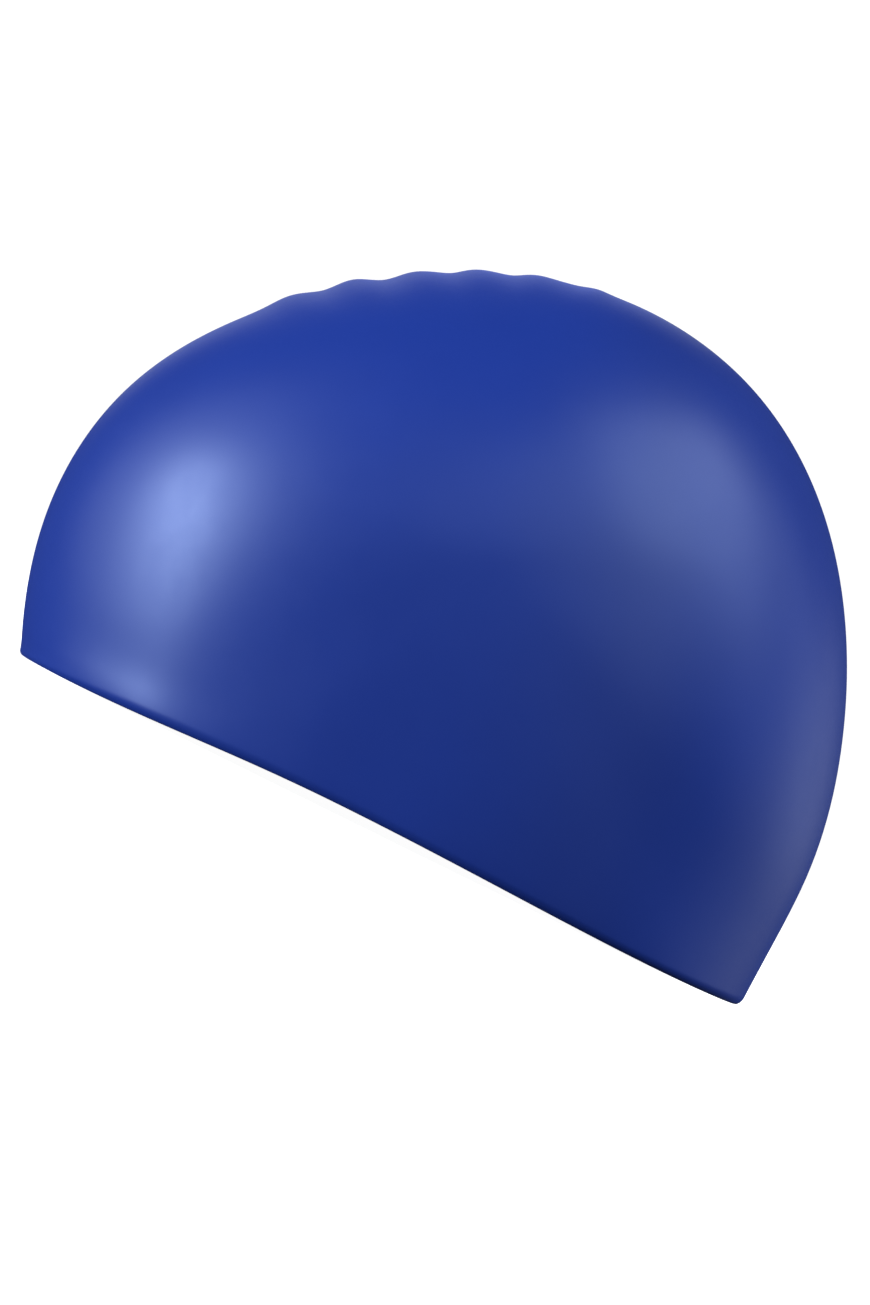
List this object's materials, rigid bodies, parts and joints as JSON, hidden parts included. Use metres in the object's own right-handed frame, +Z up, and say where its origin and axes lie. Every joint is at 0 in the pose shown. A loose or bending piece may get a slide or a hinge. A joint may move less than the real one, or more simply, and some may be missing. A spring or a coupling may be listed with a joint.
{
  "type": "swim cap",
  "caption": "Moulded silicone swim cap: a thin seamless dome, open at a slightly thicker rim, with low soft folds across the crown.",
  "frame": {"origin": "on the surface that the rim stands on, under the middle of the cap's outline seen from above", "axes": "+X towards the nape and -X towards the brow, +Y towards the wearer's right, +Z up from the rim towards the crown"},
  "size_m": [0.2036, 0.1558, 0.1405],
  "materials": {
    "silicone": "satin royal blue, evenly coloured through the thickness, with broad soft highlights"
  },
  "bodies": {
    "root": {"cap_dome": "silicone"}
  },
  "joints": []
}
